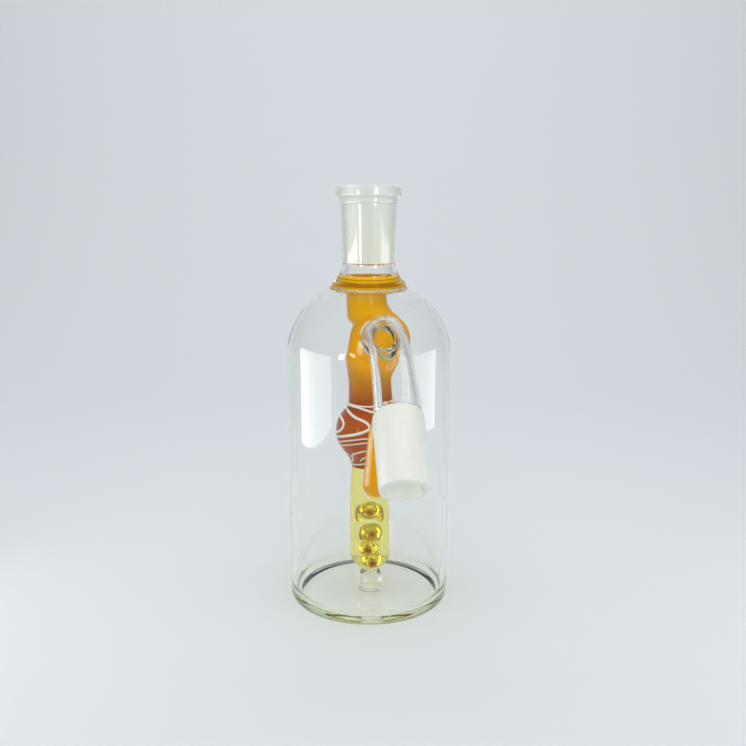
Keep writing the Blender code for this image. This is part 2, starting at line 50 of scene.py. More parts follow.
# Sizes in millimetres, read from the boxes of the CAD nodes.
CAN_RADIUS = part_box("can_body")[1].x / MM
SHOULDER_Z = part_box("can_shoulder")[0].z / MM
SHOULDER_TOP_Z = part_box("can_crown")[1].z / MM
NECK_FOOT_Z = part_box("neck_collar")[1].z / MM
SOCKET_FOOT_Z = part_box("neck_tube")[1].z / MM
SOCKET_TOP_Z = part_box("top_joint")[1].z / MM
PEG_TOP_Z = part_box("support_peg")[1].z / MM
DIFFUSER_BOTTOM_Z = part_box("diffuser_tube")[0].z / MM
BULB_BOTTOM_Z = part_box("line_bulb")[0].z / MM

# Driving sizes, in millimetres, that the boxes don't give.
CAN_WALL = 2.3
SHOULDER_TOP_RADIUS = 12.6
SHOULDER_RADIUS_POWER = 1.25
SHOULDER_HEIGHT_POWER = 1.28
HEEL_RADIUS = 2.6
FLOOR_THICKNESS = 2.0
FLOOR_FLAT_RADIUS = 25.0
FLOOR_FILLET_Z = 7.5
SOCKET_FOOT_RADIUS = 10.6
SOCKET_BORE = 8.2
COLLAR_BORE = 10.1
NECK_FOOT_RADIUS = 12.6
PEG_RADIUS = 4.5
STEM_TOP_X = -0.8
STEM_FOOT_X = 0.7
STEM_TOP_Z = 136.0

ARM_BEARING = 8.7
ARM_LEAVE_BEARING = 3.0
ARM_EXIT_Z = 115.2
ARM_RISE = 36.0
ARM_REACH = 21.0
ARM_RADIUS = 7.2
ARM_END_RADIUS = 8.3
ARM_WALL = 1.8
ARM_FLARE_START = 0.35
ARM_END = Vector((10.1, -63.3, 94.7))
ARM_TILT = 45.0
ARM_YAW = 4.0
CONE_LENGTH = 28.88
CONE_RADIUS = 9.0
CONE_END_RADIUS = 8.4
CONE_BORE = 6.4

# Cell sizes of the meshes on distance fields, each well under the thinnest glass it has to follow.
BODY_CELL = 0.8
DIFFUSER_CELL = 0.5
DRIP_CELL = 0.4

# Sizes of the fillets where blown pieces melt together.
COLLAR_FILLET = 0.8
NECK_FILLET = 1.2
PEG_FILLET = 1.0
ARM_FILLET = 6.5
ARM_BORE_FILLET = 1.5
BEAD_FILLET = 0.9
HOLE_FILLET = 0.7
DRIP_FILLET = 0.3


# ---------------------------------------------------------------- curves


def smooth(stations, steps):
    """Points on a smooth curve through stations of any number of values each."""
    result = []
    last = len(stations) - 1
    for i in range(last):
        a, b = stations[max(i - 1, 0)], stations[i]
        c, d = stations[i + 1], stations[min(i + 2, last)]
        for k in range(steps):
            t = k / steps
            result.append(tuple(
                0.5 * (2 * q + (r - p) * t + (2 * p - 5 * q + 4 * r - s) * t * t
                       + (3 * q - p - 3 * r + s) * t * t * t)
                for p, q, r, s in zip(a, b, c, d)))
    result.append(tuple(stations[last]))
    return result


def bezier(a, b, c, d, count):
    points = []
    for k in range(count + 1):
        t = k / count
        s = 1 - t
        points.append(a * s ** 3 + b * 3 * s * s * t + c * 3 * s * t * t + d * t ** 3)
    return points


def front_direction(bearing, rise=0.0):
    """Unit vector at a bearing from -Y towards +X, raised by an angle, both in degrees."""
    turn, lift = math.radians(bearing), math.radians(rise)
    return Vector((math.sin(turn) * math.cos(lift), -math.cos(turn) * math.cos(lift), math.sin(lift)))


def arc(radius_from, z_from, radius_to, z_to, steps=10, power_r=1.0, power_z=1.0):
    """A quarter of an ellipse from upright at the first point to level at the second."""
    points = []
    for k in range(steps + 1):
        angle = 0.5 * math.pi * k / steps
        spread = max(math.cos(angle), 0.0) ** power_r
        climb = math.sin(angle) ** power_z
        points.append((radius_to + (radius_from - radius_to) * spread, z_from + (z_to - z_from) * climb))
    return points


def shoulder_radius(height):
    """Outer radius of the can at a height on its shoulder."""
    climb = ((height - SHOULDER_Z) / (SHOULDER_TOP_Z - SHOULDER_Z)) ** (1 / SHOULDER_HEIGHT_POWER)
    spread = math.cos(math.asin(climb)) ** SHOULDER_RADIUS_POWER
    return SHOULDER_TOP_RADIUS + (CAN_RADIUS - SHOULDER_TOP_RADIUS) * spread


def stem_x(height):
    """Sideways place of the leaning downstem's axis at a height."""
    return STEM_FOOT_X + (STEM_TOP_X - STEM_FOOT_X) * height / STEM_TOP_Z


# ---------------------------------------------------------------- distance fields


def outline_distance(outline, r, z):
    """Signed distance from points (r, z) to a closed outline, negative inside it."""
    points = np.array(outline, float)
    ends = np.roll(points, -1, axis=0)
    best = np.full(r.shape, 1e9)
    inside = np.zeros(r.shape, bool)
    for (ax, az), (bx, bz) in zip(points, ends):
        ex, ez = bx - ax, bz - az
        length = ex * ex + ez * ez
        if length < 1e-12:
            continue
        t = np.clip(((r - ax) * ex + (z - az) * ez) / length, 0.0, 1.0)
        best = np.minimum(best, (r - ax - t * ex) ** 2 + (z - az - t * ez) ** 2)
        if az != bz:
            crossing = (az > z) != (bz > z)
            inside ^= crossing & (r < ax + (z - az) / (bz - az) * ex)
    distance = np.sqrt(best)
    return np.where(inside, -distance, distance)


class Turned:
    """A solid of revolution, read through a fine table of its distance field."""

    def __init__(self, outline, x=0.0, step=0.2):
        points = np.array(outline)
        self.x, self.step = x, step
        self.low = np.array((-4.0, points[:, 1].min() - 6.0))
        high = points.max(axis=0) + 8.0
        rs = np.arange(self.low[0], high[0], step)
        zs = np.arange(self.low[1], high[1], step)
        grid_r, grid_z = np.meshgrid(rs, zs, indexing="ij")
        self.table = outline_distance(outline, np.abs(grid_r), grid_z)

    def __call__(self, x, y, z):
        r = np.hypot(x - self.x, y)
        i = np.clip((r - self.low[0]) / self.step, 1, self.table.shape[0] - 3.001)
        j = np.clip((z - self.low[1]) / self.step, 1, self.table.shape[1] - 3.001)
        i0, j0 = i.astype(int), j.astype(int)
        u, v = i - i0, j - j0
        t = self.table
        return (t[i0, j0] * (1 - u) * (1 - v) + t[i0 + 1, j0] * u * (1 - v)
                + t[i0, j0 + 1] * (1 - u) * v + t[i0 + 1, j0 + 1] * u * v)


class Pipe:
    """A round bar along a path, whose radius may change along it."""

    def __init__(self, path, radii):
        self.path = [np.array(point) for point in path]
        self.radii = list(radii)

    def __call__(self, x, y, z):
        best = np.full(x.shape, 1e9)
        for a, b, ra, rb in zip(self.path, self.path[1:], self.radii, self.radii[1:]):
            ab = b - a
            t = ((x - a[0]) * ab[0] + (y - a[1]) * ab[1] + (z - a[2]) * ab[2]) / ab.dot(ab)
            t = np.clip(t, 0.0, 1.0)
            gap = np.sqrt((x - a[0] - t * ab[0]) ** 2 + (y - a[1] - t * ab[1]) ** 2
                          + (z - a[2] - t * ab[2]) ** 2)
            best = np.minimum(best, gap - (ra + (rb - ra) * t))
        return best


def melt(a, b, size):
    """The union of two distance fields with a fillet of about that size."""
    share = np.clip(0.5 + 0.5 * (b - a) / size, 0.0, 1.0)
    return b + (a - b) * share - size * share * (1 - share)


def carve(a, b, size):
    """Distance field a without b, with softened edges."""
    return -melt(-a, b, size)


def below_plane(x, y, z, point, normal):
    """Signed distance to a plane: negative behind it."""
    return (x - point[0]) * normal[0] + (y - point[1]) * normal[1] + (z - point[2]) * normal[2]


def mesh_field(name, field, low, high, cell, pulls=4):
    """A closed mesh on the zero surface of a distance field, in millimetres, with exact normals."""
    axes = [np.arange(l, h + cell, cell) for l, h in zip(low, high)]
    gx, gy, gz = np.meshgrid(*axes, indexing="ij")
    values = field(gx, gy, gz)
    solid = values < 0
    shape = np.array(values.shape)
    corners = [(i, j, k) for i in (0, 1) for j in (0, 1) for k in (0, 1)]
    count = sum(solid[i:shape[0] - 1 + i, j:shape[1] - 1 + j, k:shape[2] - 1 + k].astype(int)
                for i, j, k in corners)
    cells = np.argwhere((count > 0) & (count < 8))
    index = -np.ones(shape - 1, int)
    index[tuple(cells.T)] = np.arange(len(cells))
    total = np.zeros((len(cells), 3))
    hits = np.zeros(len(cells))
    for i, j, k in corners:
        for axis in range(3):
            if (i, j, k)[axis]:
                continue
            a = cells + (i, j, k)
            b = a.copy()
            b[:, axis] += 1
            va, vb = values[tuple(a.T)], values[tuple(b.T)]
            crossed = (va < 0) != (vb < 0)
            t = np.where(crossed, va / np.where(crossed, va - vb, 1.0), 0.0)
            point = a.astype(float)
            point[:, axis] += t
            total += point * crossed[:, None]
            hits += crossed
    points = total / hits[:, None] * cell + np.array([axis[0] for axis in axes])
    for _ in range(pulls):
        distance, normal = slope(field, points)
        points -= normal * np.clip(distance, -0.4 * cell, 0.4 * cell)[:, None]
    faces = []
    for axis in range(3):
        u, v = (axis + 1) % 3, (axis + 2) % 3
        step = np.eye(3, dtype=int)
        lower = [slice(None)] * 3
        upper = [slice(None)] * 3
        lower[axis], upper[axis] = slice(0, -1), slice(1, None)
        flip = solid[tuple(lower)] != solid[tuple(upper)]
        edge = np.argwhere(flip)
        beside_u = (edge[:, u] > 0) & (edge[:, u] < shape[u] - 1)
        beside_v = (edge[:, v] > 0) & (edge[:, v] < shape[v] - 1)
        edge = edge[beside_u & beside_v]
        quad = np.stack([index[tuple((edge - step[u] - step[v]).T)], index[tuple((edge - step[v]).T)],
                         index[tuple(edge.T)], index[tuple((edge - step[u]).T)]], axis=1)
        outwards = solid[tuple(edge.T)]
        faces.append(np.where(outwards[:, None], quad, quad[:, ::-1]))
    faces = np.concatenate(faces)
    mesh = bpy.data.meshes.new(name)
    mesh.from_pydata((points * MM).tolist(), [], faces.tolist())
    mesh.update()
    mesh.shade_smooth()
    _, normal = slope(field, points, reach=0.25)
    mesh.normals_split_custom_set_from_vertices(normal.tolist())
    return link(name, mesh)


def slope(field, points, reach=0.05):
    """The field's value at points and the unit direction in which it grows."""
    x, y, z = points.T
    value = field(x, y, z)
    normal = np.stack([
        field(x + reach, y, z) - field(x - reach, y, z),
        field(x, y + reach, z) - field(x, y - reach, z),
        field(x, y, z + reach) - field(x, y, z - reach)], axis=1)
    normal /= np.maximum(np.linalg.norm(normal, axis=1), 1e-9)[:, None]
    return value, normal


def link(name, mesh):
    obj = bpy.data.objects.new(name, mesh)
    bpy.context.scene.collection.objects.link(obj)
    return obj


# ---------------------------------------------------------------- turned and swept meshes


def turned(name, outline, steps=160):
    """A closed mesh of revolution about Z from an outline in millimetres."""
    bm = bmesh.new()
    ring = [bm.verts.new((r * MM, 0.0, z * MM)) for r, z in outline]
    edges = [bm.edges.new((ring[i - 1], ring[i])) for i in range(len(ring))
             if outline[i - 1][0] > 0.0 or outline[i][0] > 0.0]
    bmesh.ops.spin(bm, geom=ring + edges, axis=(0, 0, 1), cent=(0, 0, 0), dvec=(0, 0, 0),
                   angle=math.tau, steps=steps, use_merge=True, use_duplicate=False)
    bmesh.ops.remove_doubles(bm, verts=bm.verts, dist=0.001 * MM)
    bmesh.ops.recalc_face_normals(bm, faces=bm.faces)
    mesh = bpy.data.meshes.new(name)
    bm.to_mesh(mesh)
    bm.free()
    mesh.shade_smooth()
    mesh.set_sharp_from_angle(angle=math.radians(50))
    return link(name, mesh)


def ring_frames(path):
    """A centre and two cross directions for each point, carried along without twist."""
    frames = []
    side = Vector((1, 0, 0))
    for i, point in enumerate(path):
        ahead = (path[min(i + 1, len(path) - 1)] - path[max(i - 1, 0)]).normalized()
        side = (side - ahead * side.dot(ahead)).normalized()
        frames.append((point, side, ahead.cross(side)))
    return frames


def closed_frames(path):
    """Frames round a closed loop about Z."""
    frames = []
    for i, point in enumerate(path):
        ahead = (path[(i + 1) % len(path)] - path[i - 1]).normalized()
        side = ahead.cross(Vector((0, 0, 1))).normalized()
        frames.append((point, side, ahead.cross(side)))
    return frames


def swept(name, path, outer, inner=None, sides=64, level=False, closed=False):
    """A bar or pipe along a path, in millimetres."""
    bm = bmesh.new()
    frames = closed_frames(path) if closed else ring_frames(path)
    if level:
        frames = [(point, Vector((1, 0, 0)), Vector((0, 1, 0))) for point in path]

    def skin(radii):
        rings = []
        for (centre, side, up), radius in zip(frames, radii):
            angles = [math.tau * k / sides for k in range(sides)]
            rings.append([bm.verts.new((centre + (side * math.cos(a) + up * math.sin(a)) * radius) * MM)
                          for a in angles])
        pairs = list(zip(rings, rings[1:]))
        if closed:
            pairs.append((rings[-1], rings[0]))
        for low, high in pairs:
            for k in range(sides):
                j = (k + 1) % sides
                bm.faces.new((low[k], low[j], high[j], high[k]))
        return rings

    outside = skin(outer)
    if inner is not None:
        inside = skin(inner)
        for end in (0, -1):
            for k in range(sides):
                j = (k + 1) % sides
                bm.faces.new((outside[end][k], outside[end][j], inside[end][j], inside[end][k]))
    elif not closed:
        bm.faces.new(outside[0])
        bm.faces.new(outside[-1])
    bmesh.ops.recalc_face_normals(bm, faces=bm.faces)
    mesh = bpy.data.meshes.new(name)
    bm.to_mesh(mesh)
    bm.free()
    mesh.shade_smooth()
    mesh.set_sharp_from_angle(angle=math.radians(50))
    return link(name, mesh)


def place(obj, material, slot, *nodes):
    """Gives a piece its material and puts it in place of CAD nodes. The finish slot is not used."""
    obj.data.materials.clear()
    obj.data.materials.append(material)
    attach(obj, "root")
    if nodes:
        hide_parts(*nodes)
    return obj


# ---------------------------------------------------------------- materials


def new_material(name):
    material = bpy.data.materials.new(name)
    material.use_nodes = True
    nodes = material.node_tree.nodes
    return material, nodes, material.node_tree.links, nodes["Principled BSDF"]


def add_ripple(nodes, links, shader, scale, strength):
    """A faint unevenness of the surface, as blown glass has."""
    place_node = nodes.new("ShaderNodeTexCoord")
    noise = nodes.new("ShaderNodeTexNoise")
    noise.inputs["Scale"].default_value = scale
    noise.inputs["Detail"].default_value = 1.0
    bump = nodes.new("ShaderNodeBump")
    bump.inputs["Strength"].default_value = strength
    bump.inputs["Distance"].default_value = 0.0005
    links.new(place_node.outputs["Object"], noise.inputs["Vector"])
    links.new(noise.outputs["Fac"], bump.inputs["Height"])
    links.new(bump.outputs["Normal"], shader.inputs["Normal"])


def let_light_through(nodes, links, shader, colour):
    """Lets lamps and bounced light reach what is behind the glass without a hard shadow."""
    path = nodes.new("ShaderNodeLightPath")
    either = nodes.new("ShaderNodeMath")
    either.operation = "MAXIMUM"
    open_side = nodes.new("ShaderNodeBsdfTransparent")
    open_side.inputs["Color"].default_value = (*colour, 1.0)
    mix = nodes.new("ShaderNodeMixShader")
    links.new(path.outputs["Is Shadow Ray"], either.inputs[0])
    links.new(path.outputs["Is Diffuse Ray"], either.inputs[1])
    links.new(either.outputs["Value"], mix.inputs["Fac"])
    links.new(shader.outputs["BSDF"], mix.inputs[1])
    links.new(open_side.outputs["BSDF"], mix.inputs[2])
    links.new(mix.outputs["Shader"], nodes["Material Output"].inputs["Surface"])


def clear_glass(name, tint, density, ripple=0.12, shade=(0.96, 0.97, 0.96)):
    """Glass that is tinted by its thickness, with the faint unevenness of blown work."""
    material, nodes, links, shader = new_material(name)
    shader.inputs["Base Color"].default_value = (1.0, 1.0, 1.0, 1.0)
    shader.inputs["Roughness"].default_value = 0.0
    shader.inputs["IOR"].default_value = 1.47
    shader.inputs["Transmission Weight"].default_value = 1.0
    shader.inputs["Specular Tint"].default_value = (0.4, 0.4, 0.4, 1.0)
    volume = nodes.new("ShaderNodeVolumeAbsorption")
    volume.inputs["Color"].default_value = (*tint, 1.0)
    volume.inputs["Density"].default_value = density
    links.new(volume.outputs["Volume"], nodes["Material Output"].inputs["Volume"])
    add_ripple(nodes, links, shader, 35.0, ripple)
    let_light_through(nodes, links, shader, shade)
    return material


def frosted_glass(name, low_colour, high_colour, low, high, gloss, clearness):
    """Ground glass, milky and streaked up its length. gloss is the share of a smooth outer skin."""
    material, nodes, links, shader = new_material(name)
    shader.inputs["Roughness"].default_value = 0.5
    shader.inputs["IOR"].default_value = 1.47
    shader.inputs["Transmission Weight"].default_value = clearness
    shader.inputs["Coat Weight"].default_value = gloss
    shader.inputs["Coat Roughness"].default_value = 0.03
    coordinates = nodes.new("ShaderNodeTexCoord")
    stretch = nodes.new("ShaderNodeMapping")
    stretch.inputs["Scale"].default_value = (1.0, 1.0, 0.12)
    grain = nodes.new("ShaderNodeTexNoise")
    grain.inputs["Scale"].default_value = 1500.0
    grain.inputs["Detail"].default_value = 3.0
    streak = nodes.new("ShaderNodeTexNoise")
    streak.inputs["Scale"].default_value = 420.0
    streak.inputs["Detail"].default_value = 2.0
    split = nodes.new("ShaderNodeSeparateXYZ")
    span = nodes.new("ShaderNodeMapRange")
    span.inputs["From Min"].default_value = low * MM
    span.inputs["From Max"].default_value = high * MM
    tone = nodes.new("ShaderNodeMix")
    tone.data_type = "RGBA"
    tone.inputs["A"].default_value = (*low_colour, 1.0)
    tone.inputs["B"].default_value = (*high_colour, 1.0)
    shade = nodes.new("ShaderNodeMapRange")
    shade.inputs["To Min"].default_value = 0.93
    shade.inputs["To Max"].default_value = 1.04
    scaled = nodes.new("ShaderNodeVectorMath")
    scaled.operation = "SCALE"
    bump = nodes.new("ShaderNodeBump")
    bump.inputs["Strength"].default_value = 0.3
    bump.inputs["Distance"].default_value = 0.0001
    links.new(coordinates.outputs["Object"], grain.inputs["Vector"])
    links.new(coordinates.outputs["Object"], stretch.inputs["Vector"])
    links.new(coordinates.outputs["Object"], split.inputs["Vector"])
    links.new(stretch.outputs["Vector"], streak.inputs["Vector"])
    links.new(split.outputs["Z"], span.inputs["Value"])
    links.new(span.outputs["Result"], tone.inputs["Factor"])
    links.new(tone.outputs["Result"], scaled.inputs[0])
    links.new(streak.outputs["Fac"], shade.inputs["Value"])
    links.new(shade.outputs["Result"], scaled.inputs["Scale"])
    links.new(scaled.outputs["Vector"], shader.inputs["Base Color"])
    links.new(grain.outputs["Fac"], bump.inputs["Height"])
    links.new(bump.outputs["Normal"], shader.inputs["Normal"])
    let_light_through(nodes, links, shader, (0.8, 0.82, 0.78))
    return material


def graded_glass(name, stops, roughness=0.06, unevenness=0.004):
    """Opaque coloured glass whose colour changes with height: stops are (z in mm, colour)."""
    material, nodes, links, shader = new_material(name)
    low, high = stops[0][0], stops[-1][0]
    coordinates = nodes.new("ShaderNodeTexCoord")
    split = nodes.new("ShaderNodeSeparateXYZ")
    noise = nodes.new("ShaderNodeTexNoise")
    noise.inputs["Scale"].default_value = 90.0
    level = nodes.new("ShaderNodeMath")
    level.operation = "MULTIPLY_ADD"
    level.inputs[1].default_value = unevenness
    span = nodes.new("ShaderNodeMapRange")
    span.inputs["From Min"].default_value = low * MM
    span.inputs["From Max"].default_value = high * MM
    ramp = nodes.new("ShaderNodeValToRGB")
    elements = ramp.color_ramp.elements
    while len(elements) < len(stops):
        elements.new(0.5)
    for element, (height, colour) in zip(elements, stops):
        element.position = (height - low) / (high - low) if high > low else 0.0
        element.color = (*colour, 1.0)
    links.new(coordinates.outputs["Object"], split.inputs["Vector"])
    links.new(coordinates.outputs["Object"], noise.inputs["Vector"])
    links.new(noise.outputs["Fac"], level.inputs[0])
    links.new(split.outputs["Z"], level.inputs[2])
    links.new(level.outputs["Value"], span.inputs["Value"])
    links.new(span.outputs["Result"], ramp.inputs["Fac"])
    links.new(ramp.outputs["Color"], shader.inputs["Base Color"])
    shader.inputs["Roughness"].default_value = roughness
    shader.inputs["IOR"].default_value = 1.5
    shader.inputs["Specular Tint"].default_value = (0.15, 0.13, 0.08, 1.0)
    return material


# ---------------------------------------------------------------- the clear body


def arm_exit():
    """The middle of the arm's hole on the can's outer surface."""
    spot = front_direction(ARM_BEARING) * shoulder_radius(ARM_EXIT_Z)
    return Vector((spot.x, spot.y, ARM_EXIT_Z))


def joint_direction():
    return front_direction(ARM_YAW, -ARM_TILT)


def arm_lines():
    """The arm's centre line and outer radii, run on past both ends."""
    start = arm_exit()
    leave = front_direction(ARM_LEAVE_BEARING, ARM_RISE)
    line = bezier(start, start + leave * ARM_REACH, ARM_END - joint_direction() * ARM_REACH, ARM_END, 40)
    share = [max(0.0, k / 40 - ARM_FLARE_START) / (1.0 - ARM_FLARE_START) for k in range(41)]
    radii = [ARM_RADIUS + (ARM_END_RADIUS - ARM_RADIUS) * s for s in share]
    return [start - leave * 3.5] + line + [ARM_END + joint_direction() * 12], [radii[0]] + radii + [radii[-1]]


def clear_body_field():
    """The fused clear glass as one distance field: can, base, collar, neck, peg and arm."""
    heel = arc(CAN_RADIUS, HEEL_RADIUS, CAN_RADIUS - HEEL_RADIUS, 0.0)[::-1]
    powers = (SHOULDER_RADIUS_POWER, SHOULDER_HEIGHT_POWER)
    shoulder = arc(CAN_RADIUS, SHOULDER_Z, SHOULDER_TOP_RADIUS, SHOULDER_TOP_Z, 60, *powers)
    outer = [(0.0, 0.0)] + heel + shoulder + [(0.0, SHOULDER_TOP_Z)]
    shell = Turned(outer)
    inner_radius = CAN_RADIUS - CAN_WALL
    fillet = arc(inner_radius, FLOOR_FILLET_Z, FLOOR_FLAT_RADIUS, FLOOR_THICKNESS, 20)[::-1]
    ceiling_z = SHOULDER_TOP_Z - CAN_WALL
    ceiling = arc(inner_radius, SHOULDER_Z, SHOULDER_TOP_RADIUS, ceiling_z, 60, *powers)
    hollow = Turned([(0.0, FLOOR_THICKNESS)] + fillet + ceiling + [(0.0, ceiling_z)])
    collar = Turned([
        (0.0, SHOULDER_TOP_Z - 2.0), (14.2, SHOULDER_TOP_Z - 1.0), (15.2, SHOULDER_TOP_Z - 0.1),
        (14.9, SHOULDER_TOP_Z + 0.9), (13.6, NECK_FOOT_Z - 1.3), (12.3, NECK_FOOT_Z - 0.1),
        (0.0, NECK_FOOT_Z)])
    neck = Turned([
        (0.0, SHOULDER_TOP_Z), (NECK_FOOT_RADIUS, SHOULDER_TOP_Z), (NECK_FOOT_RADIUS, NECK_FOOT_Z),
        (11.6, NECK_FOOT_Z + 2.0), (10.9, NECK_FOOT_Z + 3.8), (SOCKET_FOOT_RADIUS, SOCKET_FOOT_Z + 6.0),
        (0.0, SOCKET_FOOT_Z + 6.0)])
    bore = Turned([
        (0.0, SHOULDER_TOP_Z - 8.0), (COLLAR_BORE, SHOULDER_TOP_Z - 8.0), (COLLAR_BORE, NECK_FOOT_Z - 0.8),
        (9.6, NECK_FOOT_Z + 1.0), (SOCKET_BORE + 0.3, NECK_FOOT_Z + 3.6), (SOCKET_BORE, SOCKET_FOOT_Z + 8.0),
        (0.0, SOCKET_FOOT_Z + 8.0)])
    peg = Turned([
        (0.0, 0.8), (PEG_RADIUS, 0.8), (PEG_RADIUS, PEG_TOP_Z - 1.4), (PEG_RADIUS - 1.1, PEG_TOP_Z - 0.2),
        (0.0, PEG_TOP_Z)], x=STEM_FOOT_X)
    path, radii = arm_lines()
    arm = Pipe(path, radii)
    arm_bore = Pipe([path[0] - front_direction(ARM_LEAVE_BEARING, ARM_RISE) * 6] + path[1:],
                    [r - ARM_WALL for r in radii])
    end, ahead = np.array(ARM_END), np.array(joint_direction())
    arm_box = np.array([(-12, -84, 80), (26, -18, 136)])

    def field(x, y, z):
        near = np.ones(x.shape, bool)
        for value, (low, high) in zip((x, y, z), arm_box.T):
            near &= (value > low) & (value < high)
        outside = melt(shell(x, y, z), collar(x, y, z), COLLAR_FILLET)
        outside = melt(outside, neck(x, y, z), NECK_FILLET)
        inside = np.minimum(hollow(x, y, z), bore(x, y, z))
        inside = carve(inside, peg(x, y, z), PEG_FILLET)
        if near.any():
            at = (x[near], y[near], z[near])
            cut = below_plane(*at, end, ahead)
            outside[near] = melt(outside[near], np.maximum(arm(*at), cut), ARM_FILLET)
            inside[near] = melt(inside[near], arm_bore(*at), ARM_BORE_FILLET)
        body = np.maximum(outside, -inside)
        return np.maximum(body, z - SOCKET_FOOT_Z)

    return field


def make_clear_body():
    low = (-CAN_RADIUS - 2.03, -74.03, -2.03)
    high = (CAN_RADIUS + 2, CAN_RADIUS + 2, SOCKET_FOOT_Z + 2)
    body = mesh_field("clear_glass_body", clear_body_field(), low, high, BODY_CELL)
    glass = clear_glass("clear_borosilicate", (0.80, 0.86, 0.45), 17.0, shade=(0.99, 0.992, 0.98))
    return place(body, glass, "clear_glass", "can_body", "can_shoulder", "can_crown", "base_disc",
                 "neck_collar", "neck_tube", "outlet_arm", "arm_weld", "support_peg", "peg_bead")


make_clear_body()


# ---------------------------------------------------------------- ground joints


def make_socket():
    """The frosted socket with its rolled lip."""
    foot, top = SOCKET_FOOT_Z + 0.02, SOCKET_TOP_Z
    outline = [(SOCKET_BORE, foot), (SOCKET_FOOT_RADIUS, foot), (11.25, 163.6), (11.4, 165.3)]
    outline += arc(12.0, 166.9, 11.4, 165.9, 6)[::-1]
    outline += [(12.05, 167.6), (11.9, 168.2), (12.2, 168.6)]
    outline += [(12.9, 168.75), (13.18, 169.1), (13.25, 169.6), (13.25, top - 1.1)]
    outline += arc(13.25, top - 1.1, 12.1, top, 8)[1:]
    outline += [(10.0, top), (9.6, top - 0.15), (9.4, top - 0.6)]
    material = frosted_glass("ground_socket", (0.95, 0.96, 0.84), (0.95, 0.97, 0.92), foot, top, 0.6, 0.5)
    return place(turned("ground_socket", outline), material, "frosted_glass", "top_joint")


def make_cone():
    """The frosted cone at the arm's end."""
    length = CONE_LENGTH
    outline = [(CONE_BORE, 0.03), (ARM_END_RADIUS - 0.1, 0.03)]
    outline += arc(CONE_RADIUS, 1.9, ARM_END_RADIUS - 0.1, 0.03, 8)[::-1]
    outline += [(CONE_END_RADIUS, length - 1.2)]
    outline += arc(CONE_END_RADIUS, length - 1.2, CONE_END_RADIUS - 1.2, length, 8)[1:]
    outline += [(CONE_BORE + 0.3, length), (CONE_BORE, length - 0.4)]
    cone = turned("ground_cone", outline)
    turn = joint_direction().to_track_quat("Z", "Y").to_matrix().to_4x4()
    cone.data.transform(Matrix.Translation(ARM_END * MM) @ turn)
    material = frosted_glass("ground_cone", (1.0, 1.0, 0.93), (0.96, 0.97, 0.90), 68.0, 98.0, 0.0, 0.25)
    return place(cone, material, "frosted_glass", "arm_joint")


make_socket()
make_cone()


# ---------------------------------------------------------------- the coloured downstem

GOLD = (1.0, 0.52, 0.001)
GOLD_DEEP = (1.0, 0.42, 0.001)
# Dark orange painted as the shade in the seal's grooves.
PAINTED_GROOVE_SHADE = (0.50, 0.16, 0.001)
RUST = (0.50, 0.085, 0.001)

# Stations down the S-bend and the lower stem: height, sideways offset, radius.
STEM = (
    (136.0, -0.8, 8.3), (127.0, -0.8, 8.3), (123.0, 0.2, 9.2), (119.5, 1.3, 9.9), (115.5, 4.2, 9.6),
    (111.0, 4.0, 9.8), (107.0, 2.0, 9.8), (103.3, 0.4, 9.95), (98.0, 0.0, 9.0), (93.0, -0.3, 8.1),
    (84.9, -0.3, 8.15),
)
STEM_WALL = 1.9

# The bulb: height and outer radius of each station.
BULB = (
    (84.9, 8.3), (82.3, 9.2), (80.0, 11.3), (76.9, 13.0), (72.3, 13.7), (68.4, 13.0), (64.9, 11.1),
    (61.5, 8.5), (57.6, 7.1),
)
BULB_WALL = 1.8
BULB_CURVE = smooth(BULB, 10)


def make_stem():
    points = smooth(STEM, 10)
    path = [Vector((x, 0.0, z)) for z, x, _ in points]
    outer = [radius for _, _, radius in points]
    inner = [radius - STEM_WALL for radius in outer]
    stem = swept("orange_stem", path, outer, inner, sides=96, level=True)
    stops = [(84.0, (0.34, 0.04, 0.001)), (88.0, (0.42, 0.08, 0.001)), (92.0, (0.54, 0.17, 0.001)),
             (97.0, (0.74, 0.30, 0.001)), (104.0, GOLD_DEEP), (136.0, GOLD)]
    return place(stem, graded_glass("orange_glass", stops), "orange_glass", "s_bend_stem", "lower_stem")


def make_seal():
    """The ring where the downstem is sealed into the collar, with two raised rounds and painted shade in the
    grooves beside them.
    """
    outline = [
        (9.5, 130.9), (9.9, 130.9), (10.5, 131.4), (10.75, 132.2), (10.7, 132.9), (10.4, 133.4),
        (10.7, 133.9), (10.8, 134.6), (10.7, 135.2), (10.4, 135.6), (10.4, 136.0), (10.1, 136.4),
        (9.5, 136.5)]
    ring = turned("orange_seal", outline)
    # The dark orange bands at the grooves are painted shade.
    stops = [(130.0, GOLD), (132.6, GOLD), (133.2, PAINTED_GROOVE_SHADE), (133.8, GOLD), (135.2, GOLD), (135.6, PAINTED_GROOVE_SHADE),
             (136.0, GOLD), (137.0, GOLD)]
    return place(ring, graded_glass("seal_orange", stops, unevenness=0.0), "orange_glass", "seal_ring")


def bulb_radius(height):
    """Outer radius of the bulb at a height."""
    heights = [z for z, _ in BULB_CURVE][::-1]
    return float(np.interp(height, heights, [r for _, r in BULB_CURVE][::-1]))


def make_bulb():
    outer = [(radius, height) for height, radius in BULB_CURVE]
    inner = [(radius - BULB_WALL, height) for radius, height in outer]
    bulb = lean(turned("rust_bulb", outer + inner[::-1]))
    stops = [(57.0, (0.42, 0.07, 0.001)), (70.0, RUST), (80.0, (0.50, 0.10, 0.001)),
             (85.0, (0.40, 0.055, 0.001))]
    return place(bulb, graded_glass("rust_glass", stops), "brown_glass", "line_bulb")


def lean(obj):
    """Leans a piece that was turned about Z so that it follows the downstem's axis."""
    shear = Matrix.Identity(4)
    shear[0][2] = (STEM_TOP_X - STEM_FOOT_X) / STEM_TOP_Z
    shear[0][3] = STEM_FOOT_X * MM
    obj.data.transform(shear)
    return obj


